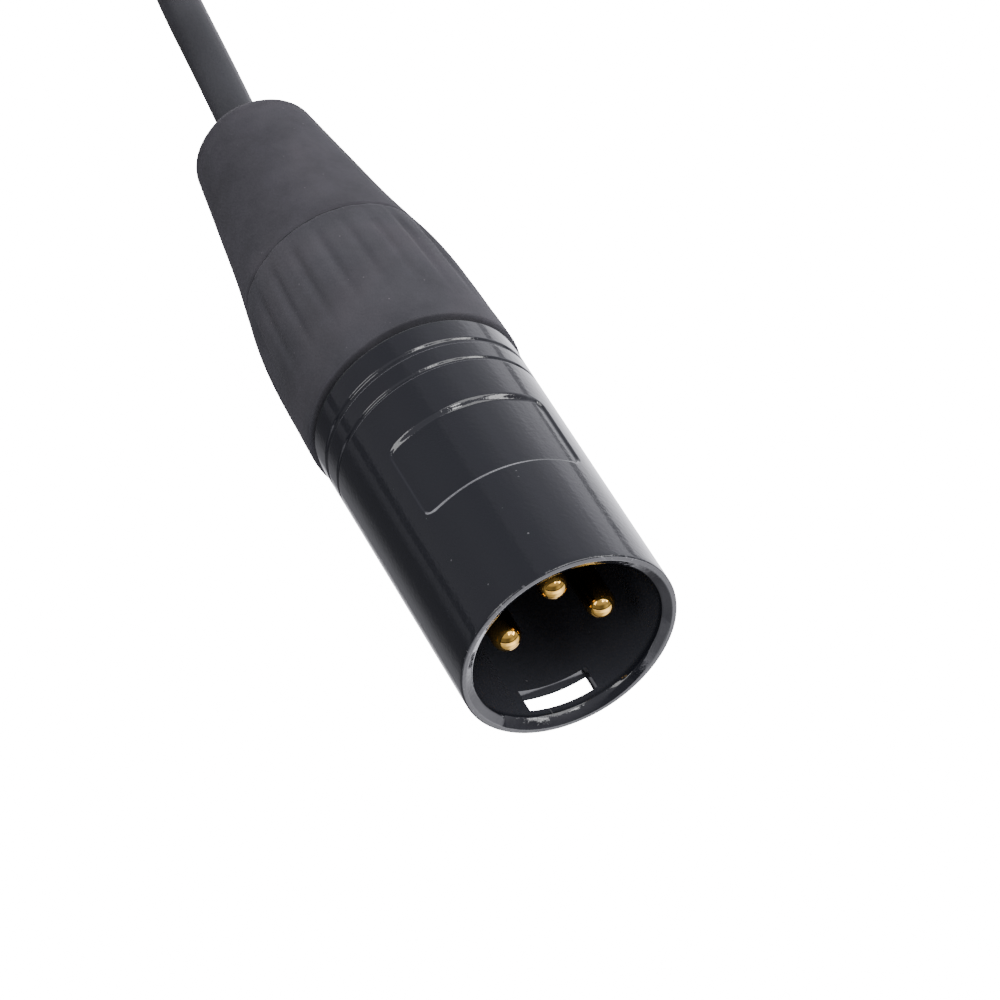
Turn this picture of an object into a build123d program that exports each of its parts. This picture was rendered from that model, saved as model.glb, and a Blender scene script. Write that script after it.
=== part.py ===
"""A data lead for stage lighting: a three-pin cable connector, 1.5 m of cable and a computer plug.

The connector lies on its side, as it would on a table. +X points out of its mouth, along its axis,
+Z is up, and the origin is the centre of the mouth's rim. Depths are measured inwards from the rim,
so a point at depth 5 has x = -5. The cable runs on along -X into a tied hank, and the computer plug
lies on the hank's far end with its mouth pointing along -X.
"""

from build123d import *
import os
from math import atan2, cos, degrees, hypot, radians, sin, tan

# Gaps between pieces
PRESS_GAP = 0.02  # pieces that are pushed together and stay
RUN_GAP = 0.05  # a thread or a bearing face, on the radius
LOOSE_GAP = 0.15  # pieces that only have to miss each other

# Cable
CABLE_D = 3.7
CORE_D = 1.1
CORE_RING_R = 0.85  # the three cores leave the jacket on this circle

# Metal shell of the stage connector
MOUTH_R = 8.0
SHELL_WALL = 1.13
SHELL_LENGTH = 28.0
RIM_FACE = 0.45  # width of the flat ring at the front
RIM_ROUND = 0.14
LEAD_IN = 0.38  # length of the bevel inside the rim
SEAT_DEPTH = 15.0  # shoulder that stops the pin insert
SEAT_STEP = 0.2  # height of that shoulder; the bore behind it also carries the thread
GROOVE_DEPTH = 0.24
NARROW_GROOVE = (23.88, 0.42)  # depth of its middle and its width
WIDE_GROOVE = (26.35, 0.78)
KEYWAY_WIDTH = 2.0
KEYWAY_DEPTH = 0.35

# Recessed panel on top of the shell
PANEL_FROM = 11.3
PANEL_LENGTH = 8.2
PANEL_DEPTH = 0.36
PANEL_HALF_WIDTH = 6.65
PANEL_CORNER = 1.5

# Latch window and the ramp that leads to it, under the mouth
WINDOW_DEPTH = 1.41
WINDOW_LENGTH = 2.22
WINDOW_WIDTH = 5.76
RAMP_LIP = 0.34  # rim left in front of the ramp
RAMP_LENGTH = 1.2
RAMP_HALF_ANGLE = 33.0

# Pin insert and its three pins
INSERT_FLANGE = 4.5  # thickness of the disc behind the shoulder
INSERT_HUB_LENGTH = 3.0
PIN_R = 1.195
PIN_CIRCLE_R = 3.97
PIN_TIP_DEPTH = 1.9
PIN_NECK_WIDTH = 0.15  # a turned neck where the pin leaves the insert
PIN_NECK_CUT = 0.25
PIN_SHOULDER_STEP = 0.45
PIN_SHOULDER_LENGTH = 3.6  # the thicker length inside the insert
CUP_R = 1.45
CUP_BORE_R = 0.95
CUP_LENGTH = 5.4  # from the shoulder's rear to the cup's rim
CUP_DEPTH = 4.0  # how deep the solder cup is drilled
CUP_OPENING = 2.4  # length of the cut in its outer side

# Shell contact: a folded strip from pin 1 to the shell
STRIP_WIDTH = 2.2
STRIP_THICK = 0.25
STRIP_LENGTH = 3.2
STRIP_SLOT_DEPTH = 0.4

# Cable clamp: a slotted plastic cone that stands on the insert
CLAMP_WALL = 0.65
CLAMP_LENGTH = 21.5
CLAMP_STRAIGHT = 11.5  # from its front to its cone
CLAMP_TIP_R = 3.5
CLAMP_OPEN = 9.5  # from its front to where its bore starts to close on the cable
CLAMP_GRIP_LENGTH = 4.0  # length that grips the cable
CLAMP_SLOT = 1.0
CLAMP_SLOT_LENGTH = 11.0
JACKET_FROM_CUP = 6.5  # from the solder cups to the end of the cable's jacket

# Fluted collar, which screws into the shell
SLEEVE_SET_BACK = 0.4  # from the insert to the sleeve's front edge
SLEEVE_WALL = 0.7
COLLAR_GAP = 0.06  # between the shell's rear edge and the collar
LIP_PROUD = 0.12  # how far the collar's front edge stands out from the shell
LIP_RISE = 0.17  # from that edge to the widest place, just behind it
LIP_LENGTH = 1.3
COLLAR_END = 45.2
COLLAR_WAY = ((6.14, 0.17), (11.44, 0.5))  # two places behind the widest: how far back and how much smaller
COLLAR_DROP = 1.2  # how much smaller the collar is at the seam
COLLAR_END_SLOPE = 0.26
FLUTES = 22
FLUTE_R = 1.5
FLUTE_FROM = 44.6
FLUTE_TO = 33.4
FLUTE_CUT = 0.26  # how deep a flute is at its deep end
SEAM_CUT = 0.1  # how far the tail's front edge stands in from the collar's

# Rubber tail
SPIGOT_STEP = 2.17  # from the seam's edge down to the spigot
SPIGOT_LENGTH = 4.8
SPIGOT_BEAD = 0.4
SPIGOT_WALL = 3.1
TAIL_LENGTH = 21.1
TAIL_TAPER_DROP = 2.72  # how much smaller the tail gets before its domed end
TAIL_DOME = 3.0  # length of the domed end
TAIL_DOME_WAY = (1.58, 2.54)  # a place on it: distance from the end, height above the cable's way
TAIL_END_SLOPE = 0.5  # how far it leans, for each step inwards, where it ends
TAIL_CABLE_GAP = 0.3
TAIL_FLARE = 0.35
TAIL_CAVITY_R = 4.2
TAIL_CAVITY_LENGTH = 8.0

# The hank that the rest of the cable is folded into
HANK_START = 105.0  # how far from the mouth's rim the hank begins
HANK_SIDE = -4.5  # its middle line's y
FOLD_R = 3 * CABLE_D  # middle line of its inner turns
WIDE_LAYERS = 3  # layers of two turns, side by side
FOLD_SPAN = 56.0  # between the centres of its two end folds
WAIST_GAP = 0.3  # between the two inner runs where the tie pulls them together

# The tie round the hank's waist
TIE_WIDTH = 9.0
TIE_THICK = 1.1
TIE_ROUND = 2.5
TIE_TAIL = 9.0

# Computer plug: the metal shell, its tongue and its contacts
PLUG_WIDTH = 12.0
PLUG_HEIGHT = 4.5
PLUG_WALL = 0.3
PLUG_OUT = 12.0
PLUG_INSIDE = 6.0
PLUG_CORNER = 0.55
LATCH_HOLE = (2.3, 2.3)
LATCH_HOLE_FROM_FRONT = 4.6
LATCH_HOLE_SIDE = 2.9
TONGUE_WIDTH = 11.0
TONGUE_THICK = 1.84
TONGUE_SET_BACK = 0.8
TONGUE_BLOCK = 2.6  # how far the full-height block reaches in front of the housing
CONTACT_WIDTH = 1.0
CONTACT_THICK = 0.25
CONTACT_PROUD = 0.1
CONTACT_SIDES = (-3.5, -1.0, 1.0, 3.5)
CONTACT_SET_BACK = (1.6, 2.6, 2.6, 1.6)
CONTACT_TAIL = 2.5

# Plug housing: two moulded halves
HOUSING_LENGTH = 34.0
HOUSING_WIDTH = 17.0
HOUSING_HEIGHT = 8.0
HOUSING_CORNER = 2.2
HOUSING_EDGE = 0.8
HOUSING_WALL = 1.3
HOUSING_END_WALL = 2.0
JOINT_LIP = 0.6
GRIP_RIBS = 5
GRIP_PITCH = 2.2
GRIP_CUT = 0.56  # radius of the round cutter, centred on the housing's side
GRIP_HEIGHT = 4.8

# Circuit board and what is on it
BOARD_LENGTH = 20.5
BOARD_WIDTH = 13.0
BOARD_THICK = 1.0
POST_R = 0.9
BRIDGE_CHIP = (6.5, 4.4, 1.5)
BRIDGE_CHIP_AT = (7.0, 0.0)  # from the board's front edge, and to the side
DRIVER_CHIP = (4.9, 3.9, 1.5)
DRIVER_CHIP_AT = (13.2, 1.9)
CRYSTAL = (3.2, 2.5, 0.9)
CRYSTAL_AT = (13.2, -3.9)
LEAD_WIDTH = 0.35
LEAD_PITCH = 1.27
LEAD_THICK = 0.24
LEAD_REACH = 0.9  # how far a lead stands out beside the chip
LEAD_ROOT = 0.3  # how far it runs in under the chip
CHIP_STAND = 0.12  # gap under the chip
PAD_PITCH = 2.6  # between the board's pads for the cable's cores
WIRE_PITCH = 1.19  # between the cores where they leave the jacket
WIRE_WAY = (1.0, 2.5, 4.0)  # where a core bends away, straightens and ends, in core diameters

# Strain relief behind the plug housing
RELIEF_LENGTH = 10.0
RELIEF_R = 3.5
RELIEF_TIP_R = 2.45
RELIEF_NECK_R = 2.3
RELIEF_FLANGE_R = 2.7
RELIEF_FLANGE = 1.4
RELIEF_RIBS = 3  # grooves round it
RELIEF_RIB_WIDTH = 1.0
RELIEF_RIB_CUT = 0.5
RELIEF_FROM_WAIST = 8.0  # from the hank's middle to the relief's tip

CABLE_R = CABLE_D / 2
SHELL_R = MOUTH_R + SHELL_WALL
SEAT_R = MOUTH_R + SEAT_STEP
SLEEVE_R = SEAT_R - RUN_GAP
SLEEVE_BORE_R = SLEEVE_R - SLEEVE_WALL
CLAMP_R = SLEEVE_BORE_R - LOOSE_GAP
CLAMP_BORE_R = CLAMP_R - CLAMP_WALL
INSERT_HUB_R = CLAMP_BORE_R - LOOSE_GAP
LIP_R = SHELL_R + LIP_PROUD
WIDEST_R = LIP_R + LIP_RISE
COLLAR_END_R = WIDEST_R - COLLAR_DROP
SPIGOT_R = COLLAR_END_R - SPIGOT_STEP
FLOOR_Z = -WIDEST_R
COLLAR_FRONT = SHELL_LENGTH + COLLAR_GAP
TAIL_END = COLLAR_END + TAIL_LENGTH
TAIL_MOUTH_R = CABLE_R + TAIL_CABLE_GAP
PIN_SHOULDER_R = PIN_R + PIN_SHOULDER_STEP
PIN_SHOULDER_REAR = SEAT_DEPTH + PIN_SHOULDER_LENGTH
CUP_REAR = PIN_SHOULDER_REAR + CUP_LENGTH
INSERT_REAR = SEAT_DEPTH + INSERT_FLANGE
HUB_REAR = INSERT_REAR + INSERT_HUB_LENGTH
CLAMP_SHOULDER = INSERT_REAR + CLAMP_STRAIGHT
CLAMP_END = INSERT_REAR + CLAMP_LENGTH
CLAMP_GRIP = CLAMP_END - CLAMP_GRIP_LENGTH
JACKET_END = CUP_REAR + JACKET_FROM_CUP
SLEEVE_FRONT = INSERT_REAR + SLEEVE_SET_BACK
PIN_ANGLES = {"contact_pin_1": 90.0, "contact_pin_2": -90.0, "contact_pin_3": 0.0}  # from the top, towards +Y

# Levels and places inside the plug, from its own axis and from the front of its housing
TONGUE_FLOOR = -PLUG_HEIGHT / 2 + PLUG_WALL
CONTACT_TOP = TONGUE_FLOOR + TONGUE_THICK + CONTACT_PROUD
BOARD_TOP = CONTACT_TOP - CONTACT_THICK - PRESS_GAP
CONTACT_REAR = -PLUG_INSIDE - CONTACT_TAIL
BOARD_FRONT = -PLUG_INSIDE - LOOSE_GAP  # the board starts under the contacts' tails
JACKET_STOP = BOARD_FRONT - BOARD_LENGTH - CORE_D / 2
POST_PLACES = (BOARD_FRONT - 2 * POST_R - CONTACT_TAIL, BOARD_FRONT - BOARD_LENGTH + 2 * POST_R)

# Where the hank, its tie and the computer plug lie
BUNDLE_R = FOLD_R + 1.5 * CABLE_D  # outside of an end fold
WAIST_R = 2 * CABLE_D + WAIST_GAP / 2  # half the hank's width at its waist
WIDE_HEIGHT = WIDE_LAYERS * CABLE_D
HANK_HEIGHT = WIDE_HEIGHT + CABLE_D
NEAR_FOLD_X = -HANK_START - BUNDLE_R
HANK_X = NEAR_FOLD_X - FOLD_SPAN / 2
WAIST_HALF = TIE_WIDTH / 2 + LOOSE_GAP  # half the length of its straight waist
HOLLOW_RUN = FOLD_SPAN / 2 - WAIST_HALF
HOLLOW_R = (HOLLOW_RUN**2 + WAIST_R**2 - BUNDLE_R**2) / (2 * (BUNDLE_R - WAIST_R))
WAIST_LIFT = TIE_THICK + RUN_GAP
TOP_STRAND_Z = FLOOR_Z + HANK_HEIGHT + WAIST_LIFT + CABLE_R
PLUG_Z = FLOOR_Z + HANK_HEIGHT + HOUSING_HEIGHT / 2
RELIEF_TIP_X = HANK_X - RELIEF_FROM_WAIST
HOUSING_REAR_X = RELIEF_TIP_X - RELIEF_LENGTH
PLUG_X = HOUSING_REAR_X - HOUSING_LENGTH
PLUG_PLACE = Pos(PLUG_X, HANK_SIDE, PLUG_Z) * Rot(0, 0, 180)

# The cable's way from the tail to the hank, and from the hank's top to the plug
LEAD_POINTS = [
    (-TAIL_END, 0, 0),
    (-80.4, 0, 0),
    (-96.0, 3.0, -3.4),
    (-109.0, 8.1, -7.2),
    (NEAR_FOLD_X, HANK_SIDE + BUNDLE_R - CABLE_R, FLOOR_Z + CABLE_R),
]
PLUG_LEAD_POINTS = [
    (HANK_X + 15.0, HANK_SIDE, TOP_STRAND_Z),
    (HANK_X + 7.5, HANK_SIDE, TOP_STRAND_Z),
    (HANK_X - 1.5, HANK_SIDE, PLUG_Z),
    (RELIEF_TIP_X, HANK_SIDE, PLUG_Z),
]


def turned(*outline):
    """A solid turned about the connector's axis from (depth, radius) points."""
    return revolve(make_face(Polyline(*[(-d, r) for d, r in outline], close=True)), Axis.X)


def ring(front, back, outer, inner):
    """A plain ring between two depths."""
    return turned((front, inner), (front, outer), (back, outer), (back, inner))


def rod(front, back, radius):
    """A plain rod on the connector's axis between two depths."""
    return turned((front, 0), (front, radius), (back, radius), (back, 0))


def block(low, high):
    """A box from its lowest corner to its highest."""
    size = [h - b for b, h in zip(low, high)]
    return Pos(*low) * Box(*size, align=(Align.MIN, Align.MIN, Align.MIN))


def around(angle):
    """A turn about the connector's axis; 0 is the top and 90 the +Y side."""
    return Rot(-angle, 0, 0)


def sector(outline, half_angle):
    """(depth, radius) points turned only through an arc about the lowest line of the connector."""
    face = make_face(Polyline(*[(-d, 0, -r) for d, r in outline], close=True))
    return Rot(-half_angle, 0, 0) * revolve(face, Axis.X, revolution_arc=2 * half_angle)


def arc_radii(points):
    """An arc for each corner of a route: 0.45 of its shorter run over the tangent of half its turn."""
    radii = []
    for a, b, c in zip(points, points[1:], points[2:]):
        before, after = Vector(*b) - Vector(*a), Vector(*c) - Vector(*b)
        half_turn = radians(before.get_angle(after)) / 2
        radii.append(0.45 * min(before.length, after.length) / tan(half_turn))
    return radii


def tube(points, diameter):
    """A round tube along straight runs joined by tangent arcs."""
    path = FilletPolyline(*points, radius=arc_radii(points)) if len(points) > 2 else Line(*points)
    start = Plane(origin=path @ 0, z_dir=path % 0)
    return sweep(start * Circle(diameter / 2), path)


def make_shell():
    """Die-cast shell: bore, bevelled rim, two turned grooves, the panel, the latch window and the keyway."""
    rim_inner = SHELL_R - RIM_FACE
    body = turned(
        (0, rim_inner),
        (0, SHELL_R - RIM_ROUND),
        (RIM_ROUND, SHELL_R),
        (SHELL_LENGTH, SHELL_R),
        (SHELL_LENGTH, SEAT_R),
        (SEAT_DEPTH, SEAT_R),
        (SEAT_DEPTH, MOUTH_R),
        (LEAD_IN, MOUTH_R),
    )
    for middle, width in (NARROW_GROOVE, WIDE_GROOVE):
        floor = SHELL_R - GROOVE_DEPTH
        slope = GROOVE_DEPTH / 2
        body -= turned(
            (middle - width / 2 - slope, SHELL_R + GROOVE_DEPTH),
            (middle - width / 2 - slope, SHELL_R),
            (middle - width / 2 + slope, floor),
            (middle + width / 2 - slope, floor),
            (middle + width / 2 + slope, SHELL_R),
            (middle + width / 2 + slope, SHELL_R + GROOVE_DEPTH),
        )
    outline = Rectangle(PANEL_LENGTH, 2 * PANEL_HALF_WIDTH)
    outline = fillet(outline.vertices(), PANEL_CORNER)
    middle = PANEL_FROM + PANEL_LENGTH / 2
    above = Pos(-middle, 0, 0) * extrude(outline, SHELL_R + PANEL_DEPTH)
    body -= above & ring(PANEL_FROM - 1, PANEL_FROM + PANEL_LENGTH + 1, SHELL_R + 1, SHELL_R - PANEL_DEPTH)
    body -= block(
        (-WINDOW_DEPTH - WINDOW_LENGTH, -WINDOW_WIDTH / 2, -SHELL_R - 1),
        (-WINDOW_DEPTH, WINDOW_WIDTH / 2, -MOUTH_R / 2),
    )
    body -= sector(
        [(-RAMP_LIP, MOUTH_R / 2), (-RAMP_LIP, SHELL_R - RAMP_LIP), (0, SHELL_R - RAMP_LIP),
         (RAMP_LENGTH, MOUTH_R), (RAMP_LENGTH, MOUTH_R / 2)],
        RAMP_HALF_ANGLE,
    )
    body -= block(
        (-SHELL_LENGTH - 1, -KEYWAY_WIDTH / 2, -SEAT_R - KEYWAY_DEPTH),
        (-SEAT_DEPTH, KEYWAY_WIDTH / 2, -MOUTH_R / 2),
    )
    return body


def pin_place(angle):
    """The middle line of one pin."""
    return Pos(0, PIN_CIRCLE_R * sin(radians(angle)), PIN_CIRCLE_R * cos(radians(angle)))


def make_insert():
    """Moulded disc and hub that hold the pins, with a key for the shell's keyway and a slot for the strip."""
    disc_r = SEAT_R - RUN_GAP
    body = turned(
        (SEAT_DEPTH, 0),
        (SEAT_DEPTH, disc_r),
        (INSERT_REAR, disc_r),
        (INSERT_REAR, INSERT_HUB_R),
        (HUB_REAR, INSERT_HUB_R),
        (HUB_REAR, 0),
    )
    body += block(
        (-INSERT_REAR, -KEYWAY_WIDTH / 2 + RUN_GAP, -SEAT_R - KEYWAY_DEPTH + RUN_GAP),
        (-SEAT_DEPTH, KEYWAY_WIDTH / 2 - RUN_GAP, -INSERT_HUB_R),
    )
    pin_hole = rod(SEAT_DEPTH - 1, PIN_SHOULDER_REAR + PRESS_GAP, PIN_SHOULDER_R + PRESS_GAP)
    pin_hole += rod(SEAT_DEPTH, HUB_REAR + 1, CUP_R + PRESS_GAP)
    for angle in PIN_ANGLES.values():
        body -= pin_place(angle) * pin_hole
    half = STRIP_WIDTH / 2 + PRESS_GAP
    slot_floor = SEAT_R - STRIP_SLOT_DEPTH
    body -= block((-INSERT_REAR - 1, slot_floor, -half), (-INSERT_REAR + STRIP_LENGTH, SEAT_R + 1, half))
    body -= block((-HUB_REAR - 1, PIN_CIRCLE_R, -half), (-INSERT_REAR, SEAT_R, half))
    return body


def make_pin(angle):
    """Turned pin: domed tip, neck, a shoulder inside the insert and a drilled cup, cut open outwards."""
    shank = rod(PIN_TIP_DEPTH + PIN_R, SEAT_DEPTH, PIN_R)
    shank -= ring(SEAT_DEPTH - PIN_NECK_WIDTH, SEAT_DEPTH, PIN_R + 1, PIN_R - PIN_NECK_CUT)
    dome = Pos(-PIN_TIP_DEPTH - PIN_R, 0, 0) * Sphere(PIN_R)
    shoulder = rod(SEAT_DEPTH, PIN_SHOULDER_REAR, PIN_SHOULDER_R)
    cup = rod(PIN_SHOULDER_REAR, CUP_REAR, CUP_R) - rod(CUP_REAR - CUP_DEPTH, CUP_REAR + 1, CUP_BORE_R)
    opening = block((-CUP_REAR - 1, -CUP_R, 0), (-CUP_REAR + CUP_OPENING, CUP_R, CUP_R))
    return pin_place(angle) * (shank + dome + shoulder + (cup - around(angle) * opening))


def make_shell_contact():
    """Folded strip: one leg lies in the insert's slot against the shell, the other reaches pin 1's cup."""
    half = STRIP_WIDTH / 2
    outside = SEAT_R - PRESS_GAP
    leg = block(
        (-INSERT_REAR - STRIP_THICK, outside - STRIP_THICK, -half),
        (-INSERT_REAR + STRIP_LENGTH - LOOSE_GAP, outside, half),
    )
    curve = ring(SEAT_DEPTH, HUB_REAR, SEAT_R - PRESS_GAP, 0)
    reach = block(
        (-INSERT_REAR - STRIP_THICK - PRESS_GAP, PIN_CIRCLE_R + CUP_R, -half),
        (-INSERT_REAR - PRESS_GAP, outside, half),
    )
    return (leg + reach) & curve


def make_clamp():
    """Plastic collet: a sleeve round the solder cups that closes, slotted four times, on to the jacket."""
    body = turned(
        (INSERT_REAR, CLAMP_BORE_R),
        (INSERT_REAR, CLAMP_R),
        (CLAMP_SHOULDER, CLAMP_R),
        (CLAMP_END, CLAMP_TIP_R),
        (CLAMP_END, CABLE_R + PRESS_GAP),
        (CLAMP_GRIP, CABLE_R + PRESS_GAP),
        (INSERT_REAR + CLAMP_OPEN, CLAMP_BORE_R),
    )
    slot_front = CLAMP_END - CLAMP_SLOT_LENGTH
    slot = block((-CLAMP_END - 1, -CLAMP_SLOT / 2, -CLAMP_R - 1), (-slot_front, CLAMP_SLOT / 2, CLAMP_R + 1))
    for turn in (45, 135):
        body -= around(turn) * slot
    relief = STRIP_WIDTH / 2 + LOOSE_GAP
    body -= block(
        (-INSERT_REAR - STRIP_THICK - LOOSE_GAP, CLAMP_BORE_R - 1, -relief),
        (-INSERT_REAR + 1, CLAMP_R + 1, relief),
    )
    return body


def collar_outline():
    """The collar's outer line from its front edge to the seam, as edges in the (x, radius) plane."""
    widest = (-COLLAR_FRONT - LIP_LENGTH, WIDEST_R)
    lip = TangentArc(widest, (-COLLAR_FRONT, LIP_R), tangent=(1, 0))
    way = [(widest[0] - back, WIDEST_R - drop) for back, drop in COLLAR_WAY]
    side = Spline(widest, *way, (-COLLAR_END, COLLAR_END_R), tangents=[(-1, 0), (-1, -COLLAR_END_SLOPE)])
    return lip, side


def make_collar():
    """Moulded gland nut: threaded sleeve, a cone that closes the clamp, shallow flutes and a rear spigot."""
    cone_end_r = CLAMP_TIP_R + LOOSE_GAP
    spigot_end = COLLAR_END + SPIGOT_LENGTH
    step = CLAMP_END + LOOSE_GAP
    lip, side = collar_outline()
    inside = Polyline(
        (-COLLAR_END, COLLAR_END_R),
        (-COLLAR_END, SPIGOT_R),
        (-spigot_end, SPIGOT_R),
        (-spigot_end, SPIGOT_R - SPIGOT_WALL),
        (-step, SPIGOT_R - SPIGOT_WALL),
        (-step, cone_end_r),
        (-CLAMP_END, cone_end_r),
        (-CLAMP_SHOULDER, SLEEVE_BORE_R),
        (-SLEEVE_FRONT, SLEEVE_BORE_R),
        (-SLEEVE_FRONT, SLEEVE_R),
        (-COLLAR_FRONT, SLEEVE_R),
        (-COLLAR_FRONT, LIP_R),
    )
    body = revolve(make_face([*lip.edges(), *side.edges(), *inside.edges()]), Axis.X)
    bead = COLLAR_END + SPIGOT_LENGTH / 2
    body += turned(
        (bead - SPIGOT_BEAD * 2, SPIGOT_R - 1),
        (bead - SPIGOT_BEAD * 2, SPIGOT_R),
        (bead, SPIGOT_R + SPIGOT_BEAD),
        (bead + SPIGOT_BEAD * 2, SPIGOT_R),
        (bead + SPIGOT_BEAD * 2, SPIGOT_R - 1),
    )
    deep, shallow = COLLAR_END_R - FLUTE_CUT, WIDEST_R
    run = FLUTE_FROM - FLUTE_TO
    tilt = degrees(atan2(shallow - deep, run))
    length = hypot(run, shallow - deep)
    cutter = Cylinder(FLUTE_R, length, align=(Align.CENTER, Align.CENTER, Align.MIN))
    cutter = Pos(-FLUTE_FROM, 0, deep + FLUTE_R) * Rot(0, 90 - tilt, 0) * cutter
    cutter += Pos(-FLUTE_FROM, 0, deep + FLUTE_R) * Sphere(FLUTE_R)
    for k in range(FLUTES):
        body -= around(k * 360 / FLUTES) * cutter
    return body


def make_tail():
    """Rubber bend relief: a socket that snaps over the collar's spigot, a long taper and a domed end."""
    socket_r = SPIGOT_R + RUN_GAP
    socket_end = COLLAR_END + SPIGOT_LENGTH + RUN_GAP
    start = COLLAR_END + RUN_GAP
    dome_start = (-TAIL_END + TAIL_DOME, COLLAR_END_R - TAIL_TAPER_DROP)
    taper = Line((-start, COLLAR_END_R - SEAM_CUT / 2), dome_start)
    way = (-TAIL_END + TAIL_DOME_WAY[0], CABLE_R + TAIL_DOME_WAY[1])
    lip = (-TAIL_END, TAIL_MOUTH_R + TAIL_FLARE)
    dome = Spline(dome_start, way, lip, tangents=[taper % 1, (-TAIL_END_SLOPE, -1)])
    inside = Polyline(
        lip,
        (-TAIL_END + 2 * TAIL_FLARE, TAIL_MOUTH_R),
        (-socket_end - TAIL_CAVITY_LENGTH, TAIL_MOUTH_R),
        (-socket_end, TAIL_CAVITY_R),
        (-socket_end, socket_r),
        (-start, socket_r),
        (-start, COLLAR_END_R - SEAM_CUT / 2),
    )
    body = revolve(make_face([*taper.edges(), *dome.edges(), *inside.edges()]), Axis.X)
    bead = COLLAR_END + SPIGOT_LENGTH / 2
    groove = SPIGOT_BEAD * 2 + RUN_GAP
    return body - turned(
        (bead - groove, SPIGOT_R - 1),
        (bead - groove, socket_r),
        (bead, socket_r + SPIGOT_BEAD),
        (bead + groove, socket_r),
        (bead + groove, SPIGOT_R - 1),
    )


def make_core(angle):
    """One cable core, from the floor of its solder cup to the end of the jacket."""
    y, z = sin(radians(angle)), cos(radians(angle))
    points = [
        (-CUP_REAR + CUP_DEPTH - PRESS_GAP, PIN_CIRCLE_R * y, PIN_CIRCLE_R * z),
        (-CUP_REAR - CORE_D, PIN_CIRCLE_R * y, PIN_CIRCLE_R * z),
        (-JACKET_END + CORE_D, CORE_RING_R * y, CORE_RING_R * z),
        (-JACKET_END, CORE_RING_R * y, CORE_RING_R * z),
    ]
    return tube(points, CORE_D)


def bone(inset, height):
    """A prism inside the hank's outline: round ends, hollow flanks and a straight waist, all tangent."""
    half = FOLD_SPAN / 2
    fold_r = BUNDLE_R - inset
    waist = WAIST_R - inset
    lean = atan2(HOLLOW_RUN, WAIST_R + HOLLOW_R)
    touch = (half - fold_r * sin(lean), fold_r * cos(lean))
    sweep_mid = lean / 2
    flank_mid = (
        WAIST_HALF + (HOLLOW_R + inset) * sin(sweep_mid),
        waist + (HOLLOW_R + inset) * (1 - cos(sweep_mid)),
    )
    outline = []
    for sx, sy in ((1, 1), (-1, 1), (-1, -1), (1, -1)):
        flank = [(WAIST_HALF, waist), flank_mid, touch]
        outline.append(ThreePointArc(*[(sx * x, sy * y) for x, y in flank]))
    for sx in (1, -1):
        fold = [touch, (half + fold_r, 0), (touch[0], -touch[1])]
        outline.append(ThreePointArc(*[(sx * x, y) for x, y in fold]))
    for sy in (1, -1):
        outline.append(Line((-WAIST_HALF, sy * waist), (WAIST_HALF, sy * waist)))
    return extrude(make_face(outline), height)


def make_hank():
    """Outside of the folded cable: layers of turns, lifted where the tie passes, and the turn on top."""
    place = Pos(HANK_X, HANK_SIDE, FLOOR_Z)
    stack = bone(0, WIDE_HEIGHT) + Pos(0, 0, WIDE_HEIGHT) * bone(CABLE_D, CABLE_D)
    gap = Box(2 * WAIST_HALF, 2 * WAIST_R, 3 * HANK_HEIGHT)
    low = RectangleRounded(2 * WAIST_R, WIDE_HEIGHT, TIE_ROUND)
    waist = Pos(0, 0, WAIST_LIFT + WIDE_HEIGHT / 2) * extrude(Plane.YZ * low, WAIST_HALF, both=True)
    high = RectangleRounded(2 * WAIST_R - 2 * CABLE_D, 2 * CABLE_D, TIE_ROUND)
    waist += Pos(0, 0, WAIST_LIFT + WIDE_HEIGHT) * extrude(Plane.YZ * high, WAIST_HALF, both=True)
    top_turn = Pos(0, 0, HANK_HEIGHT) * bone(CABLE_D, CABLE_D)
    top_turn &= block((WAIST_HALF + CABLE_R, -BUNDLE_R, 0), (FOLD_SPAN, BUNDLE_R, 2 * HANK_HEIGHT))
    return place * (stack - gap + waist + top_turn)


def make_tie():
    """Hook-and-loop strap, closed round the waist and the strand on top, with a short overlapped end."""
    half_w = WAIST_R + RUN_GAP
    low_h = WAIST_LIFT + WIDE_HEIGHT - TIE_THICK
    inner_h = PLUG_Z + CABLE_R - FLOOR_Z - TIE_THICK + RUN_GAP
    top_w = WAIST_R - CABLE_D
    side = [(half_w, 0), (half_w, low_h), (top_w, inner_h)]
    corners = side + [(-w, h) for w, h in reversed(side)]
    inner = make_face(Polyline(*corners, close=True))
    inner = fillet(inner.vertices(), TIE_ROUND)
    outer = offset(inner, TIE_THICK)
    band = extrude(Plane.YZ * Pos(0, TIE_THICK) * (outer - inner), TIE_WIDTH / 2, both=True)
    half, top = TIE_WIDTH / 2, inner_h + 2 * TIE_THICK
    end = block((-half, -TIE_TAIL / 2, top - RUN_GAP), (half, TIE_TAIL / 2, top + TIE_THICK / 2))
    return Pos(HANK_X, HANK_SIDE, FLOOR_Z) * (band + end)


def slab(x_from, x_to, width, height, corner):
    """A bar along X with rounded long edges, centred on the plug's axis."""
    section = Plane.YZ * RectangleRounded(width, height, corner)
    return Pos(x_from, 0, 0) * extrude(section, x_to - x_from)


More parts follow.
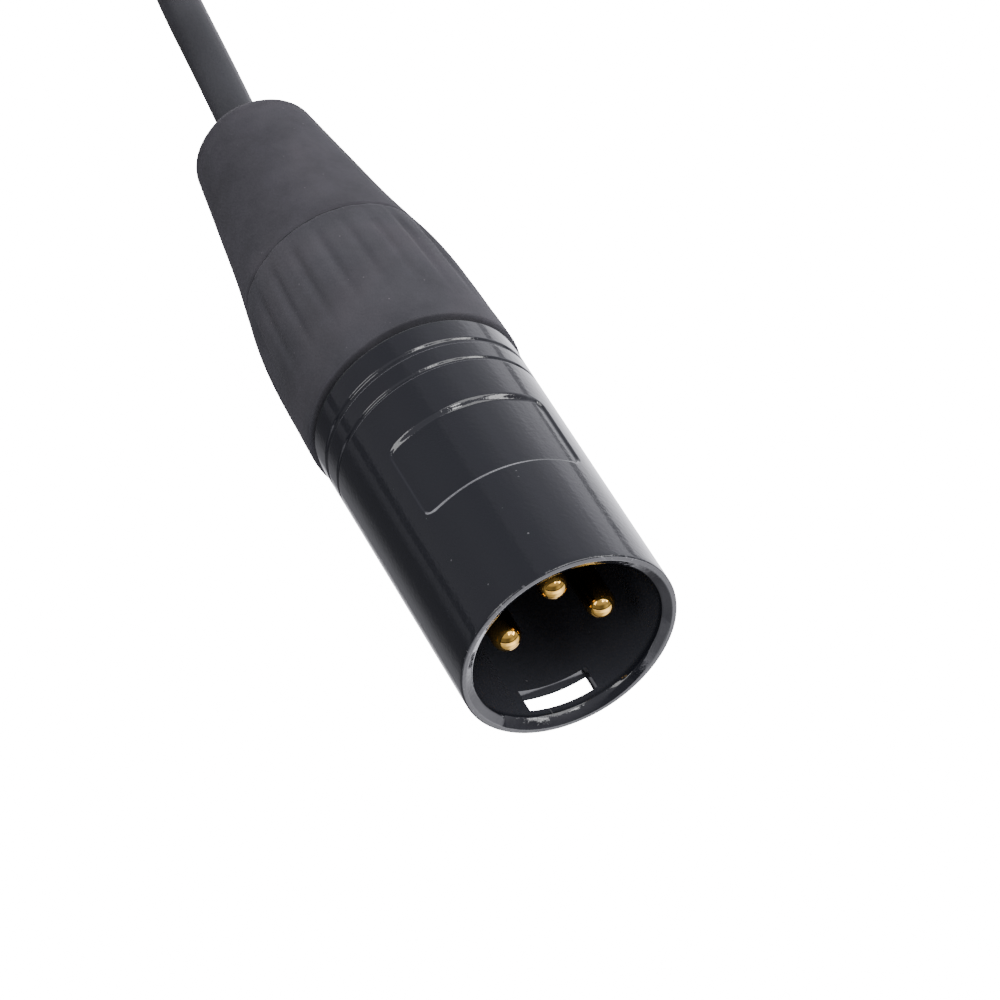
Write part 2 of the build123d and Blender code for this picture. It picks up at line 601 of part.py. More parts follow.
def make_plug_shell():
    """Folded steel shell of the plug, open at both ends, with two latch holes above and two below."""
    body = slab(-PLUG_INSIDE, PLUG_OUT, PLUG_WIDTH, PLUG_HEIGHT, PLUG_CORNER)
    inner_w, inner_h = PLUG_WIDTH - 2 * PLUG_WALL, PLUG_HEIGHT - 2 * PLUG_WALL
    body -= slab(-PLUG_INSIDE - 1, PLUG_OUT + 1, inner_w, inner_h, PLUG_CORNER - PLUG_WALL)
    length, width = LATCH_HOLE
    for side in (-LATCH_HOLE_SIDE, LATCH_HOLE_SIDE):
        centre = PLUG_OUT - LATCH_HOLE_FROM_FRONT - length / 2
        body -= Pos(centre, side, 0) * Box(length, width, PLUG_HEIGHT + 1)
    return body


def contact_bar(side, set_back):
    """One straight contact, from near the tongue's front to its tail on the board."""
    front = PLUG_OUT - set_back
    return block(
        (CONTACT_REAR, side - CONTACT_WIDTH / 2, CONTACT_TOP - CONTACT_THICK),
        (front, side + CONTACT_WIDTH / 2, CONTACT_TOP),
    )


def make_tongue():
    """Moulded tongue with a block behind it that fills the shell, and a groove for each contact."""
    half = TONGUE_WIDTH / 2
    room = PLUG_HEIGHT - 2 * PLUG_WALL - 2 * PRESS_GAP
    low = TONGUE_FLOOR + PRESS_GAP
    body = block((-PLUG_INSIDE, -half, low), (PLUG_OUT - TONGUE_SET_BACK, half, TONGUE_FLOOR + TONGUE_THICK))
    body += block((-PLUG_INSIDE, -half, low), (TONGUE_BLOCK, half, low + room))
    for side, set_back in zip(CONTACT_SIDES, CONTACT_SET_BACK):
        body -= block(
            (CONTACT_REAR - 1, side - CONTACT_WIDTH / 2 - PRESS_GAP, CONTACT_TOP - CONTACT_THICK - PRESS_GAP),
            (PLUG_OUT - set_back + PRESS_GAP, side + CONTACT_WIDTH / 2 + PRESS_GAP, CONTACT_TOP + PRESS_GAP),
        )
    return body


def make_housing(upper):
    """One half of the plug housing, with its share of the joint lip, the grip ribs and the board's posts."""
    up = 1 if upper else -1
    big = HOUSING_LENGTH + 2
    outside = slab(-HOUSING_LENGTH, 0, HOUSING_WIDTH, HOUSING_HEIGHT, HOUSING_CORNER)
    outside = fillet(outside.faces().filter_by(Axis.X).edges(), HOUSING_EDGE)
    inner_w, inner_h = HOUSING_WIDTH - 2 * HOUSING_WALL, HOUSING_HEIGHT - 2 * HOUSING_WALL
    inner_corner = HOUSING_CORNER - HOUSING_WALL
    front, rear = -HOUSING_WALL, -HOUSING_LENGTH + HOUSING_END_WALL
    mouth_w, mouth_h = PLUG_WIDTH + 2 * PRESS_GAP, PLUG_HEIGHT + 2 * PRESS_GAP
    mouth = slab(front - 1, 1, mouth_w, mouth_h, PLUG_CORNER + PRESS_GAP)
    neck = Pos(rear, 0, 0) * Rot(0, 90, 0) * Cylinder(RELIEF_NECK_R + PRESS_GAP, 4 * HOUSING_END_WALL)
    outside -= [slab(rear, front, inner_w, inner_h, inner_corner), mouth, neck]
    low, high = sorted((0, up * HOUSING_HEIGHT))
    half = outside & block((-big, -HOUSING_WIDTH, low), (2, HOUSING_WIDTH, high))
    lip = slab(rear - JOINT_LIP, front + JOINT_LIP, inner_w + 2 * JOINT_LIP, inner_h, inner_corner)
    lip -= [slab(rear - 1, front + 1, inner_w, inner_h + 1, inner_corner), mouth, neck]
    lip_top = JOINT_LIP if upper else JOINT_LIP - RUN_GAP
    lip &= block((rear - 1, -HOUSING_WIDTH, 0), (front + 1, HOUSING_WIDTH, lip_top))
    half = half - lip if upper else half + lip
    top_of_board = BOARD_TOP + PRESS_GAP if upper else BOARD_TOP - BOARD_THICK - PRESS_GAP
    far = up * (HOUSING_HEIGHT / 2 - HOUSING_WALL / 2)
    for x in POST_PLACES:
        for y in (POST_R - BOARD_WIDTH / 2, BOARD_WIDTH / 2 - POST_R):
            post = Cylinder(POST_R, abs(far - top_of_board), align=(Align.CENTER, Align.CENTER, Align.MIN))
            half += Pos(x, y, min(far, top_of_board)) * post
    for k in range(GRIP_RIBS):
        x = -HOUSING_LENGTH / 2 + (k - (GRIP_RIBS - 1) / 2) * GRIP_PITCH
        for y in (-HOUSING_WIDTH / 2, HOUSING_WIDTH / 2):
            half -= Pos(x, y, 0) * Cylinder(GRIP_CUT, GRIP_HEIGHT)
    return half


def make_board():
    """The converter's circuit board."""
    half = BOARD_WIDTH / 2
    return block((BOARD_FRONT - BOARD_LENGTH, -half, BOARD_TOP - BOARD_THICK), (BOARD_FRONT, half, BOARD_TOP))


def make_chip(size, place):
    """A moulded chip body with a row of leads on each long side, standing on the board."""
    length, width, height = size
    centre_x, centre_y = BOARD_FRONT - place[0], place[1]
    body = Pos(centre_x, centre_y, BOARD_TOP + CHIP_STAND + height / 2) * Box(length, width, height)
    count = int((length - LEAD_WIDTH) / LEAD_PITCH) + 1
    span = width + 2 * LEAD_REACH
    for k in range(count):
        x = centre_x + (k - (count - 1) / 2) * LEAD_PITCH
        lead = Box(LEAD_WIDTH, span, LEAD_THICK) - Box(LEAD_WIDTH, width - 2 * LEAD_ROOT, LEAD_THICK)
        body += Pos(x, centre_y, BOARD_TOP + LEAD_THICK / 2) * lead
    return body


def make_crystal():
    """The flat metal can of the board's crystal."""
    length, width, height = CRYSTAL
    can = Box(length, width, height, align=(Align.CENTER, Align.CENTER, Align.MIN))
    can = fillet(can.edges().filter_by(Axis.Z), width / 4)
    return Pos(BOARD_FRONT - CRYSTAL_AT[0], CRYSTAL_AT[1], BOARD_TOP) * can


def make_relief():
    """Rubber strain relief: a flange inside the housing's rear wall, a neck through it and a ribbed taper."""
    rear = -HOUSING_LENGTH
    inside = rear + HOUSING_END_WALL + PRESS_GAP
    tip = rear - RELIEF_LENGTH
    points = [
        (inside + RELIEF_FLANGE, CABLE_R),
        (inside + RELIEF_FLANGE, RELIEF_FLANGE_R),
        (inside, RELIEF_FLANGE_R),
        (inside, RELIEF_NECK_R),
        (rear - PRESS_GAP, RELIEF_NECK_R),
        (rear - PRESS_GAP, RELIEF_R),
        (tip, RELIEF_TIP_R),
        (tip, CABLE_R),
    ]
    body = revolve(make_face(Polyline(*points, close=True)), Axis.X)
    for k in range(1, RELIEF_RIBS + 1):
        share = k / (RELIEF_RIBS + 1)
        wall = RELIEF_R + (RELIEF_TIP_R - RELIEF_R) * share
        groove = Cylinder(RELIEF_R + 1, RELIEF_RIB_WIDTH) - Cylinder(wall - RELIEF_RIB_CUT, RELIEF_RIB_WIDTH)
        body -= Pos(rear - share * RELIEF_LENGTH, 0, 0) * Rot(0, 90, 0) * groove
    return body


def make_board_wire(side):
    """One core from the cable's end to its pad on the board."""
    rest = BOARD_TOP + CORE_D / 2 + PRESS_GAP
    near, far = side * WIRE_PITCH, side * PAD_PITCH
    bend, straight, end = [JACKET_STOP + way * CORE_D for way in WIRE_WAY]
    points = [(JACKET_STOP, near, rest), (bend, near, rest), (straight, far, rest), (end, far, rest)]
    return tube(points if side else [points[0], points[-1]], CORE_D)


def make_jacket_in_plug():
    """The jacket inside the strain relief."""
    tip = -HOUSING_LENGTH - RELIEF_LENGTH
    return Pos(tip, 0, 0) * extrude(Plane.YZ * Circle(CABLE_R), JACKET_STOP - tip)


def build_all():
    """Every piece under its own name."""
    pieces = {
        "xlr_shell": make_shell(),
        "pin_insert": make_insert(),
        "shell_contact": make_shell_contact(),
        "cable_clamp": make_clamp(),
        "fluted_collar": make_collar(),
        "rubber_tail": make_tail(),
        "jacket_in_connector": rod(JACKET_END, TAIL_END, CABLE_R),
        "cable_lead": tube(LEAD_POINTS, CABLE_D),
        "cable_hank": make_hank(),
        "hank_tie": make_tie(),
        "cable_plug_lead": tube(PLUG_LEAD_POINTS, CABLE_D),
    }
    for name, angle in PIN_ANGLES.items():
        pieces[name] = make_pin(angle)
        pieces[name.replace("contact_pin", "pin_core")] = make_core(angle)
    plug = {
        "usb_shell": make_plug_shell(),
        "usb_tongue": make_tongue(),
        "usb_housing_top": make_housing(True),
        "usb_housing_bottom": make_housing(False),
        "usb_relief": make_relief(),
        "usb_board": make_board(),
        "bridge_chip": make_chip(BRIDGE_CHIP, BRIDGE_CHIP_AT),
        "line_driver_chip": make_chip(DRIVER_CHIP, DRIVER_CHIP_AT),
        "board_crystal": make_crystal(),
        "jacket_in_plug": make_jacket_in_plug(),
    }
    for k, (side, set_back) in enumerate(zip(CONTACT_SIDES, CONTACT_SET_BACK)):
        plug[f"usb_contact_{k + 1}"] = contact_bar(side, set_back)
    for k, side in enumerate((-1, 0, 1)):
        plug[f"board_wire_{k + 1}"] = make_board_wire(side)
    for name, solid in plug.items():
        pieces[name] = PLUG_PLACE * solid
    return pieces


if __name__ == "__main__":
    os.makedirs("parts", exist_ok=True)
    for name, points in (("lead", LEAD_POINTS), ("plug lead", PLUG_LEAD_POINTS)):
        print(name, "arc radii", [round(r, 1) for r in arc_radii(points)])
    for name, solid in build_all().items():
        export_step(solid, f"parts/{name}.step")
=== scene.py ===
"""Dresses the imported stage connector, its cable and its computer plug, in metres in the CAD frame.

+X points out of the connector's mouth, +Z is up and the origin is the centre of the mouth's rim.
"""

import bmesh
import bpy
import numpy as np
from mathutils import Matrix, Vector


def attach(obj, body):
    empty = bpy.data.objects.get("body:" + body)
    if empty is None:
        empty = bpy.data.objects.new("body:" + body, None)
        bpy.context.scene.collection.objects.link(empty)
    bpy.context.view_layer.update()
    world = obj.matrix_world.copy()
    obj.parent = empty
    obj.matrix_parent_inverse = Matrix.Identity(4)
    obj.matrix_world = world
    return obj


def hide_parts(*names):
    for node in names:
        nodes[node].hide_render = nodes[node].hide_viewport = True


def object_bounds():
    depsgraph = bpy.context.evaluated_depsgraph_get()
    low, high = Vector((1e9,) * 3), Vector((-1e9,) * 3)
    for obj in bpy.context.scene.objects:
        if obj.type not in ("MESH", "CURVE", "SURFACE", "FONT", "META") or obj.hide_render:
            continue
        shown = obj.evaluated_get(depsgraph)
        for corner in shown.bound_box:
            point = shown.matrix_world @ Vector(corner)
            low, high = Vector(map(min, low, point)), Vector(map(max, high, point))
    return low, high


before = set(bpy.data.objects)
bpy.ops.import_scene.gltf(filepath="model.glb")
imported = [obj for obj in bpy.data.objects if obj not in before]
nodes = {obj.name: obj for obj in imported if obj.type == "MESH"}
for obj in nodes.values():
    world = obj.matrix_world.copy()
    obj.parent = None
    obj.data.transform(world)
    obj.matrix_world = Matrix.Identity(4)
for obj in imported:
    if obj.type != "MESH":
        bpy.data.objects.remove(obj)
cad_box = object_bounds()
mm = 0.001


# The table and the light: a plain white table top that glows by itself, a room round it that is bright
# on the right and dim on the left, and four soft lamps. The camera stands where the photograph's did.
class Socket:
    """A shader socket. Arithmetic on it adds Math nodes, and node() adds any other node to its tree."""

    def __init__(self, tree, out=None):
        self.tree, self.out = tree, out

    def node(self, kind, settings=None, inputs=None, take=0):
        """Adds a node, sets it up, fills its sockets with values or links and returns one of its outputs."""
        made = self.tree.nodes.new("ShaderNode" + kind)
        for key, value in (settings or {}).items():
            setattr(made, key, value)
        for key, value in (inputs or {}).items():
            if isinstance(value, Socket):
                self.tree.links.new(value.out, made.inputs[key])
            else:
                made.inputs[key].default_value = value
        return Socket(self.tree, made.outputs[take])

    def math(self, operation, *values):
        return self.node("Math", {"operation": operation}, dict(enumerate(values)))

    def __add__(self, other):
        return self.math("ADD", self, other)

    def __sub__(self, other):
        return self.math("SUBTRACT", self, other)

    def __rsub__(self, other):
        return self.math("SUBTRACT", other, self)

    def __mul__(self, other):
        return self.math("MULTIPLY", self, other)

    __radd__, __rmul__ = __add__, __mul__

    def sine(self):
        return self.math("SINE", self)

    def above(self, start, end):
        """0 where the socket is under start, 1 where it is over end, and a smooth step between."""
        settings = {"interpolation_type": "SMOOTHSTEP"}
        return self.node("MapRange", settings, {"Value": self, "From Min": start, "From Max": end})

    def below(self, start, end):
        """1 where the socket is under start, 0 where it is over end, and a smooth step between."""
        return 1 - self.above(start, end)

    def mixed(self, low, high):
        """A colour from low, where the socket is 0, to high, where it is 1."""
        low, high = [c if isinstance(c, Socket) else (*c, 1.0) for c in (low, high)]
        return self.node("Mix", {"data_type": "RGBA"}, {0: self, 6: low, 7: high}, 2)

    def parts(self):
        """The x, y and z of a vector."""
        split = self.node("SeparateXYZ", None, {"Vector": self}).out.node
        return [Socket(self.tree, out) for out in split.outputs]

    def noise(self, scale, **more):
        """A cloudy noise pattern at these coordinates; more fills its other sockets."""
        return self.node("TexNoise", None, {"Vector": self, "Scale": scale, **more})

    def cells(self, scale):
        """The distance from these coordinates to the nearest of many scattered points."""
        return self.node("TexVoronoi", {"feature": "F1"}, {"Vector": self, "Scale": scale})


def finish_of(name, colour, rough, **sockets):
    """A material with one Principled shader, its Object coordinates, and a function that links into it."""
    made = bpy.data.materials.new(name)
    made.use_nodes = True
    shader = made.node_tree.nodes["Principled BSDF"]
    shader.inputs["Base Color"].default_value = (*colour, 1.0)
    shader.inputs["Roughness"].default_value = rough
    for key, value in sockets.items():
        shader.inputs[key.replace("_", " ")].default_value = value

    def link(**outputs):
        for key, value in outputs.items():
            made.node_tree.links.new(value.out, shader.inputs[key.replace("_", " ")])

    return made, Socket(made.node_tree).node("TexCoord", take="Object"), link


def bumped(height, depth, strength=1.0):
    """A normal from a height socket; depth is in metres."""
    return height.node("Bump", None, {"Height": height, "Distance": depth, "Strength": strength})


table_z, table_half = cad_box[0][2], 6.0
corners = [(x * table_half, y * table_half, table_z) for x, y in ((-1, -1), (1, -1), (1, 1), (-1, 1))]
table = bpy.data.meshes.new("table")
table.from_pydata(corners, [], [(0, 1, 2, 3)])
glowing = {"Emission_Color": (1, 1, 1, 1), "Emission_Strength": 16.0}
table_finish, where, link = finish_of("table_white", (0.9, 0.9, 0.9), 0.7, **glowing)
link(Base_Color=where.node("TexNoise", None, {"Scale": 2.0}).above(0.2, 0.8).mixed((0.89,) * 3, (0.91,) * 3))
table.materials.append(table_finish)
table_top = bpy.data.objects.new("table_top", table)
bpy.context.scene.collection.objects.link(table_top)
table_top.visible_glossy = table_top.visible_diffuse = False

# The room: how bright each direction is, as a height or a side between -1 and 1
world = bpy.data.worlds.new("studio")
world.use_nodes = True
aim_x, aim_y, aim_z = Socket(world.node_tree).node("TexCoord", take="Generated").parts()
right_wall = (aim_y - aim_z * 0.6).above(-0.45, 1.0) * (1 - aim_z.above(0.55, 0.95) * 0.5)
right_wall = right_wall * aim_y.above(-0.15, 0.25)
low_wall = aim_z.below(-0.75, -0.10) * aim_y.above(-0.12, 0.3)
left_rim = aim_z.below(-0.75, -0.55) * aim_y.below(-0.45, 0.0)
ceiling = aim_z.above(0.55, 0.65) * aim_y.above(-0.16, -0.11)
near_table = aim_x.above(0.2, 0.6) * aim_z.below(-0.22, -0.17) * (aim_z.above(-0.68, -0.5) * 0.75 + 0.25)
front_sky = aim_x.above(0.3, 0.45) * aim_z.above(0.35, 0.6)
left_fill = aim_y.below(-0.6, -0.2)
back_wall = aim_x.below(-0.94, -0.82)
glow = right_wall + low_wall * 1.15 + left_rim * 0.25 + aim_z.above(0.3, 1.0) * 0.08 + ceiling * 0.09
glow = glow + near_table * 3.0 + front_sky * 0.45 + 0.2 + left_fill * 0.07
# Darker in it: the table's far edge, a band on the left, a step in the right wall, the front and its
# right corner, and all that is low on the left
horizon = aim_z.above(-0.16, -0.13) * aim_z.below(-0.05, -0.02) * (0.6 + 0.3 * aim_x.above(0.2, 0.6))
left_band = aim_z.above(-0.62, -0.5) * aim_z.below(-0.32, -0.2) * aim_y.below(-0.5, -0.2)
wall_step = aim_z.above(0.23, 0.25) * aim_y.above(0.3, 0.6)
front_corner = aim_x.above(-0.05, 0.15) * aim_y.above(0.5, 0.7)
under_left = aim_z.below(-0.35, -0.05) * aim_y.below(-0.5, 0.0)
glow = glow * (1 - horizon) * (1 - left_band * 0.4) * (1 - wall_step * 0.22)
glow = glow * (1 - aim_x.above(0.1, 0.6) * 0.3) * (1 - under_left * 0.45) * (1 - front_corner * 0.45)
glow = glow + back_wall * 1.6
sky_light = world.node_tree.nodes["Background"]
sky_light.inputs["Color"].default_value = (0.93, 0.925, 1.0, 1)
world.node_tree.links.new(glow.out, sky_light.inputs["Strength"])
bpy.context.scene.world = world


def turned_to(place, side, up, away):
    """The matrix that puts an object at a place, with these three directions as its own axes."""
    return Matrix.Translation(place) @ Matrix(np.array([side, up, away]).T.tolist()).to_4x4()


def soft_light(name, place, aim, size, power):
    """A rectangular area light at a place, turned so that its face looks at the aim."""
    lamp = bpy.data.lights.new(name, "AREA")
    lamp.shape, lamp.size, lamp.size_y = "RECTANGLE", size[0], size[1]
    lamp.energy = power
    lit = bpy.data.objects.new(name, lamp)
    away = np.array(place, float) - np.array(aim, float)
    away /= np.linalg.norm(away)
    side = np.cross((0, 0, 1), away)
    side /= np.linalg.norm(side)
    lit.matrix_world = turned_to(place, side, np.cross(away, side), away)
    bpy.context.scene.collection.objects.link(lit)


soft_light("overhead", (0.14, 0.30, 0.70), (-0.03, 0, 0), (0.6, 0.6), 3.0)
soft_light("left", (0.14, -0.60, 0.48), (-0.03, 0, 0), (0.4, 0.4), 1.9)
soft_light("front", (0.42, 0.12, 0.56), (0, 0, 0), (0.1, 0.1), 0.35)
soft_light("front_right", (0.32, 0.52, 0.38), (0, 0, 0), (0.30, 0.14), 1.0)

eye = np.array((209.63, -93.67, 253.11)) * mm
eye_right = (0.41374913, 0.90999, -0.02703343)
eye_up = (-0.64605479, 0.31440779, 0.69552926)
eye_back = (0.64142358, -0.27031011, 0.71798903)
lens = bpy.data.cameras.new("camera")
lens.lens, lens.sensor_width, lens.sensor_fit = 161.02, 36.0, "HORIZONTAL"
lens.clip_start, lens.clip_end = 0.01, 20.0
camera = bpy.data.objects.new("camera", lens)
camera.matrix_world = turned_to(eye.tolist(), eye_right, eye_up, eye_back)
bpy.context.scene.collection.objects.link(camera)
bpy.context.scene.camera = camera


# The metal shell: a zinc casting in thick gloss black enamel. A turned tube with a bevelled rim, two
# grooves, a recessed panel on top, the latch window below and a ramp that leads to it inside.
def smooth_through(places, values, at):
    """A cubic Hermite curve through the points; the slope at each is that of the line past it."""
    x, y, at = (np.asarray(a, float) for a in (places, values, at))
    slope = np.gradient(y, x)
    k = np.clip(np.searchsorted(x, at) - 1, 0, len(x) - 2)
    h = x[k + 1] - x[k]
    s = np.clip((at - x[k]) / h, 0, 1)
    first = (1 + 2 * s) * (1 - s) ** 2 * y[k] + s * (1 - s) ** 2 * h * slope[k]
    return first + s**2 * (3 - 2 * s) * y[k + 1] - s**2 * (1 - s) * h * slope[k + 1]


def rise(value, start, end):
    """A smooth step: 0 before start, 1 after end and 3s^2 - 2s^3 between."""
    s = np.clip((value - start) / (end - start), 0, 1)
    return s * s * (3 - 2 * s)


def grid_faces(rows, cols, wrap_rows=False, wrap_cols=False):
    """Quads that join each point of a grid to the next row and the next column."""
    ids = np.arange(rows * cols).reshape(rows, cols)
    if wrap_rows:
        ids = np.vstack([ids, ids[:1]])
    if wrap_cols:
        ids = np.hstack([ids, ids[:, :1]])
    return np.stack([ids[:-1, :-1], ids[1:, :-1], ids[1:, 1:], ids[:-1, 1:]], -1)


weld = 1e-6  # points nearer than this, in metres, become one


def make_piece(name, sheets, finish, body, sharp=None):
    """One piece from (points in mm, quads) sheets: merged where they meet, faces outwards, smooth."""
    points = np.vstack([np.reshape(p, (-1, 3)) for p, _ in sheets]) * mm
    starts = np.cumsum([0] + [np.size(p) // 3 for p, _ in sheets[:-1]])
    quads = np.vstack([np.reshape(f, (-1, 4)) + k for (_, f), k in zip(sheets, starts)])
    mesh = bpy.data.meshes.new(name)
    mesh.from_pydata(points.tolist(), [], quads.tolist())
    work = bmesh.new()
    work.from_mesh(mesh)
    bmesh.ops.remove_doubles(work, verts=work.verts, dist=weld)
    bmesh.ops.recalc_face_normals(work, faces=work.faces)
    work.to_mesh(mesh)
    work.free()
    mesh.polygons.foreach_set("use_smooth", [True] * len(mesh.polygons))
    if sharp:
        mesh.set_sharp_from_angle(angle=np.radians(sharp))
    mesh.materials.append(finish)
    piece = bpy.data.objects.new(name, mesh)
    bpy.context.scene.collection.objects.link(piece)
    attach(piece, body)
    return piece


def turned_points(depth, radius, angle):
    """Points at a depth behind the rim, a radius and an angle from the top towards +Y, in degrees."""
    a = np.radians(angle)
    depth, radius, a = np.broadcast_arrays(depth, radius, a)
    return np.stack([-depth, radius * np.sin(a), radius * np.cos(a)], -1)


shell_r, mouth_r, shell_length, seat_depth, seat_r = 9.13, 8.0, 28.8, 15.0, 8.2
rim_r, rim_round, lead_in = 8.68, 0.14, 0.38
ramp_rise, ramp_length, ramp_curve = 0.70, 0.75, 1.35
window_from, window_to, window_half = 1.41, 3.63, 2.88
panel_middle, panel_half_length, panel_half_width, panel_corner, panel_deep = 15.4, 4.1, 7.45, 1.2, 0.36
narrow_groove, wide_groove, narrow_deep, wide_deep = 23.88, 26.12, 0.15, 0.16
rear_round, rear_deep = 0.25, 0.22
out_half, in_half = (np.degrees(np.arcsin(window_half / r)) for r in (shell_r, mouth_r))

# Columns, in degrees: close together at the panel's sides, and with one on each side of the window
fine = np.concatenate([np.arange(-54, -40, 0.5), np.arange(40, 54, 0.5)])
coarse = np.concatenate([np.arange(-40, 40, 1.6), np.arange(54, 158, 1.6), np.arange(-158, -54, 1.6)])
beside_window = np.linspace(out_half, 22, 4)[1:]
below = 180 + np.concatenate([-beside_window[::-1], np.linspace(-out_half, out_half, 15), beside_window])
shell_angles = np.unique(np.round(np.concatenate([fine, coarse, below]) % 360, 4))
from_below = shell_angles - 180
# Inside, the columns beside the window are moved round so that they meet its straight side walls
span = np.abs(from_below)
inside_angles = 180 + np.sign(from_below) * np.interp(span, [0, out_half, 60, 180], [0, in_half, 60, 180])

# Rows, in mm behind the rim: close together at the panel's front and rear, the grooves and the rear end
window_rows = np.linspace(window_from, window_to, 5)
outer_t = np.unique(np.round(np.concatenate([
    [0.6, 1.0], window_rows, np.linspace(4.4, 10.8, 8), np.arange(10.9, 12.0, 0.07),
    np.arange(12, 18.6, 0.3), np.arange(18.6, 20.0, 0.06), np.linspace(20, 23.2, 6),
    np.arange(23.3, 24.5, 0.04), np.linspace(24.6, 25.5, 4), np.arange(25.6, 26.6, 0.04),
    [27.0, 28.0, 28.5], np.linspace(28.6, shell_length, 6)]), 4))


def panel_depth(depth, angle):
    """The recess on top: full inside a rounded rectangle laid on the tube and rising to 0 at its edge.

    The distance to the edge is the length of what reaches past the inner rectangle, less the corner's
    radius. The front and rear edges slope more gently than the sides, where the floor is shallower.
    """
    arc = np.radians((angle + 180) % 360 - 180) * shell_r
    reach_x = np.abs(depth - panel_middle) - panel_half_length + panel_corner
    reach_y = np.abs(arc) - panel_half_width + panel_corner
    past = np.hypot(np.maximum(reach_x, 0), np.maximum(reach_y, 0))
    edge = past + np.minimum(np.maximum(reach_x, reach_y), 0) - panel_corner
    slope = 0.24 + (0.26 + 0.04 * rise(depth, 17.5, 19.3)) * rise(reach_x - reach_y, -0.2, 0.6)
    return (panel_deep - 0.16 * rise(np.abs(arc), 4.0, 7.2)) * rise(-edge, 0.0, slope)


def groove_depth(depth):
    """Two turned grooves, each a flat floor between rounded edges, and the rounded rear end."""
    narrow = narrow_deep * (1 - rise(np.abs(depth - narrow_groove), 0.04, 0.26))
    wide = wide_deep * (1 - rise(np.abs(depth - wide_groove), 0.12, 0.36))
    return narrow + wide + rear_deep * rise(depth, shell_length - rear_round, shell_length) ** 2


def bore_radius(depth, angle):
    """The mouth: a straight bevel behind the rim and, below, a longer ramp that is a power of the depth."""
    bevel = np.interp(depth, [0, lead_in], [rim_r, mouth_r])
    ramp = mouth_r + ramp_rise * np.clip(1 - depth / ramp_length, 0, 1) ** ramp_curve
    low = rise(angle, 130, 164) * (1 - rise(angle, 222, 225))
    return bevel + (np.maximum(ramp, bevel) - bevel) * low


t, a = np.meshgrid(outer_t[::-1], shell_angles, indexing="ij")
outside = turned_points(t, shell_r - panel_depth(t, a) - groove_depth(t), a)
turns = np.radians(np.linspace(0, 90, 6))[:, None]
round_t, round_r = rim_round * (1 - np.sin(turns)), shell_r - rim_round * (1 - np.cos(turns))
rounded = turned_points(round_t, round_r, shell_angles)
lip = np.linspace(0, 1, 5)[1:-1, None]
face_r = (shell_r - rim_round) * (1 - lip) + bore_radius(np.zeros(1), inside_angles) * lip
rim = turned_points(0.0, face_r, shell_angles * (1 - lip) + inside_angles * lip)
inner_t = np.unique(np.concatenate([np.linspace(0, 0.8, 17), [1.1], window_rows, [4.5, 7, 10, seat_depth]]))
t, a = np.meshgrid(inner_t, inside_angles, indexing="ij")
mouth = turned_points(t, bore_radius(t, a), a)
seat = turned_points(np.array([[seat_depth], [shell_length]]), seat_r, inside_angles)
shell_points = np.concatenate([outside, rounded, rim, mouth, seat])
quads = grid_faces(len(shell_points), len(shell_angles), True, True)

# The window: the quads between its edges go, and four walls join the outer edge to the inner one
within = np.abs(from_below) < out_half + 0.01
middle = within & np.roll(within, -1)


def rows_at_window(depths, first):
    """The grid rows that lie at the window's own depths; first is the grid row of the first depth."""
    return [first + int(np.argmin(np.abs(depths - w))) for w in window_rows]


outer_rows = rows_at_window(outer_t[::-1], 0)
inner_rows = rows_at_window(inner_t, len(outside) + len(rounded) + len(rim))
kept = np.ones(quads.shape[:2], bool)
kept[min(outer_rows):max(outer_rows), middle] = False
kept[min(inner_rows):max(inner_rows), middle] = False
cols = len(shell_angles)
first_col = int(np.where(middle)[0][0])
last_col = int(np.where(middle)[0][-1]) + 1
walls = []
for k in (first_col, last_col):
    line = np.array([(o * cols + k, i * cols + k) for o, i in zip(outer_rows, inner_rows)])
    walls.append(np.stack([line[:-1, 0], line[1:, 0], line[1:, 1], line[:-1, 1]], -1))
for o, i in ((outer_rows[0], inner_rows[0]), (outer_rows[-1], inner_rows[-1])):
    step = np.arange(first_col, last_col)
    walls.append(np.stack([o * cols + step, o * cols + step + 1, i * cols + step + 1, i * cols + step], -1))
shell_quads = np.vstack([quads[kept], *walls])

enamel_black, glossy = (0.016, 0.017, 0.023), {"Coat_Weight": 0.8, "Coat_Roughness": 0.03}
enamel, where, link = finish_of("gloss_black_enamel", enamel_black, 0.1, **glossy)
peel = where.noise(320.0, Detail=2.0)
wave = where.noise(900.0, Detail=3.0, Roughness=0.6)
ripple = where.noise(2600.0, Detail=2.0)
mark = where.cells(1100.0).below(0.06, 0.12) * where.noise(700.0).above(0.62, 0.68)
smear = where.noise(130.0, Detail=4.0, Distortion=0.6)
along, across, height = where.parts()
radius_squared = across * across + height * height
# Bare specks where the rim is rubbed, matt sawn walls in the latch window, painted light in the bore (greyer
# enamel that stands for light reaching into it), and enamel that has run into lumps at the ramp's left end,
# with a nick beside the window. In metres
lumpy = along.above(-0.0009, -0.0007) * height.below(-0.0070, -0.0062) * across.below(-0.0025, 0.001)
beside = (across + 0.00127) * (across + 0.00127)
nick = beside.below(1e-9, 6e-9) * along.above(-0.0014, -0.00135) * along.below(-0.0007, -0.0006)
nick = nick * height.below(-0.0076, -0.0074)
rubbed = along.above(-0.00025, -0.00005) * ripple.above(0.60, 0.66) * 0.7
rubbed = rubbed * radius_squared.above(7.6e-5, 7.9e-5)
# Painted light: inside the bore, from about 1 mm behind the rim, the enamel is painted greyer to stand for
# the light that reaches into it
painted_bore_light = radius_squared.below(6.45e-5, 6.6e-5) * along.below(-0.0012, -0.0006)
plain = painted_bore_light.mixed(enamel_black, (0.05, 0.052, 0.062))
sawn = height.below(-0.0082, -0.0079) * along.above(-0.0038, -0.0037) * along.below(-0.0014, -0.0013)
